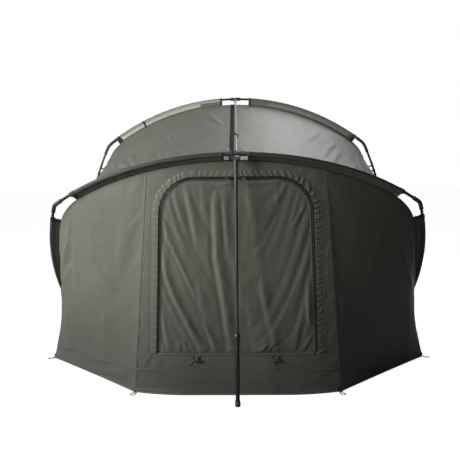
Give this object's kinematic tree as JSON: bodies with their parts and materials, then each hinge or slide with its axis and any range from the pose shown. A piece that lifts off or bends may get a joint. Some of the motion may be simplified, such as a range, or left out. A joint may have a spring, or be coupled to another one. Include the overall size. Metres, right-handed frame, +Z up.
{
  "type": "bivvy tent",
  "caption": "Fishing bivvy tent with folding hoops, a canopy hung inside them, a zipped front door, a tension bar and a storm pole.",
  "frame": {"origin": "on the ground, midway between the hub blocks", "axes": "+X to the right seen from the door, +Y to the back, +Z up"},
  "size_m": [2.4728, 2.5616, 1.7767],
  "materials": {
    "pole": "dark anodised tube",
    "bar": "bare drawn tube",
    "moulding": "black moulded nylon",
    "foot": "black rubber",
    "zip": "black zip and toggles",
    "webbing": "black woven webbing",
    "canopy": "coated olive polyester",
    "dark_canopy": "coated dark olive polyester"
  },
  "bodies": {
    "base": {"hub_block_left": "moulding", "hub_block_right": "moulding", "rear_panel": "dark_canopy", "peg_loop_rear_left": "webbing", "peg_loop_rear_right": "webbing"},
    "main_hoop": {"main_centre_block": "moulding", "main_arch_left": "pole", "main_arch_right": "pole", "main_elbow_left": "moulding", "main_elbow_right": "moulding", "main_leg_left": "pole", "main_leg_right": "pole", "main_knuckle_left": "moulding", "main_knuckle_right": "moulding", "main_sleeve_left": "canopy", "main_sleeve_right": "canopy", "leg_tie_left": "webbing", "leg_tie_right": "webbing", "roof_panel_left": "canopy", "roof_panel_right": "canopy", "side_wall_left": "dark_canopy", "side_wall_right": "dark_canopy"},
    "front_hoop": {"front_centre_block": "moulding", "front_arch_left": "pole", "front_arch_right": "pole", "front_elbow_left": "moulding", "front_elbow_right": "moulding", "front_leg_left": "pole", "front_leg_right": "pole", "front_knuckle_left": "moulding", "front_knuckle_right": "moulding", "front_sleeve_left": "dark_canopy", "front_sleeve_right": "dark_canopy", "leg_sleeve_left": "dark_canopy", "leg_sleeve_right": "dark_canopy", "front_panel_left": "dark_canopy", "front_panel_right": "dark_canopy", "toggle_loop_left": "webbing", "toggle_loop_right": "webbing", "peg_loop_front_left": "webbing", "peg_loop_front_right": "webbing", "peg_loop_outer_left": "webbing", "peg_loop_outer_right": "webbing", "front_panel_centre": "canopy", "door_panel": "canopy", "door_zip": "zip", "storm_flap": "canopy"},
    "tension_bar": {"bar_inner_tube": "bar"},
    "tension_bar_outer": {"bar_outer_tube": "bar", "bar_clip": "moulding"},
    "tension_bar_collar": {"bar_collar": "moulding"},
    "storm_pole": {"storm_top_lug": "moulding", "storm_upper_tube": "pole"},
    "storm_pole_lower": {"storm_lower_tube": "pole", "storm_foot": "foot"},
    "storm_pole_collar": {"storm_collar": "moulding"},
    "slider_left": {"zip_slider_left": "zip"},
    "slider_right": {"zip_slider_right": "zip"},
    "toggle_left": {"toggle_left": "zip"},
    "toggle_right": {"toggle_right": "zip"}
  },
  "joints": [
    {"name": "main_hoop_fold", "type": "hinge", "parent": "base", "child": "main_hoop", "pos_m": [0, 0, 0.055], "axis": [-1, 0, 0], "range_deg": [0, 75.9], "deforming": ["rear_panel", "roof_panel_left", "roof_panel_right", "side_wall_left", "side_wall_right"]},
    {"name": "front_hoop_fold", "type": "hinge", "parent": "base", "child": "front_hoop", "pos_m": [0, 0, 0.055], "axis": [-1, 0, 0], "range_deg": [0, 129.6], "deforming": ["front_panel_left", "front_panel_right", "front_panel_centre", "door_panel", "door_zip", "storm_flap"]},
    {"name": "tension_bar_fold", "type": "hinge", "parent": "main_hoop", "child": "tension_bar", "pos_m": [0, 0.35179, 1.75218], "axis": [-1, 0, 0], "range_deg": [0, 117]},
    {"name": "tension_bar_slide", "type": "slide", "parent": "tension_bar", "child": "tension_bar_outer", "axis": [0, 0.9596, 0.2813], "range_m": [0, 0.25]},
    {"name": "tension_bar_collar_turn", "type": "hinge", "parent": "tension_bar_outer", "child": "tension_bar_collar", "pos_m": [0, -0.84147, 1.40237], "axis": [0, -0.9596, -0.2813], "range_deg": [0, 90]},
    {"name": "storm_pole_swing", "type": "hinge", "parent": "front_hoop", "child": "storm_pole", "pos_m": [0, -1.26605, 1.25777], "axis": [1, 0, 0], "range_deg": [0, 44]},
    {"name": "storm_pole_slide", "type": "slide", "parent": "storm_pole", "child": "storm_pole_lower", "axis": [0, 0, 1], "range_m": [0, 0.26]},
    {"name": "storm_pole_collar_turn", "type": "hinge", "parent": "storm_pole_lower", "child": "storm_pole_collar", "pos_m": [0, -1.26605, 0.37], "axis": [0, 0, 1], "range_deg": [0, 90]},
    {"name": "zip_slider_left_slide", "type": "slide", "parent": "front_hoop", "child": "slider_left", "axis": [-0.999, 0.0439, 0], "range_m": [0, 0.14]},
    {"name": "zip_slider_right_slide", "type": "slide", "parent": "front_hoop", "child": "slider_right", "axis": [0.999, 0.0439, 0], "range_m": [0, 0.14]},
    {"name": "toggle_left_turn", "type": "hinge", "parent": "front_hoop", "child": "toggle_left", "pos_m": [-0.212, -1.15029, 0.2], "axis": [1, 0, 0], "continuous": true},
    {"name": "toggle_right_turn", "type": "hinge", "parent": "front_hoop", "child": "toggle_right", "pos_m": [0.212, -1.15029, 0.2], "axis": [1, 0, 0], "continuous": true}
  ],
  "couplings": [
    {"joint": "front_hoop_fold", "follows": "main_hoop_fold", "ratio": 1.7075},
    {"joint": "tension_bar_fold", "follows": "main_hoop_fold", "ratio": 1.5415},
    {"joint": "tension_bar_slide", "follows": "main_hoop_fold", "m_per_rad": 0.18872},
    {"joint": "storm_pole_swing", "follows": "main_hoop_fold", "ratio": 0.57971}
  ]
}
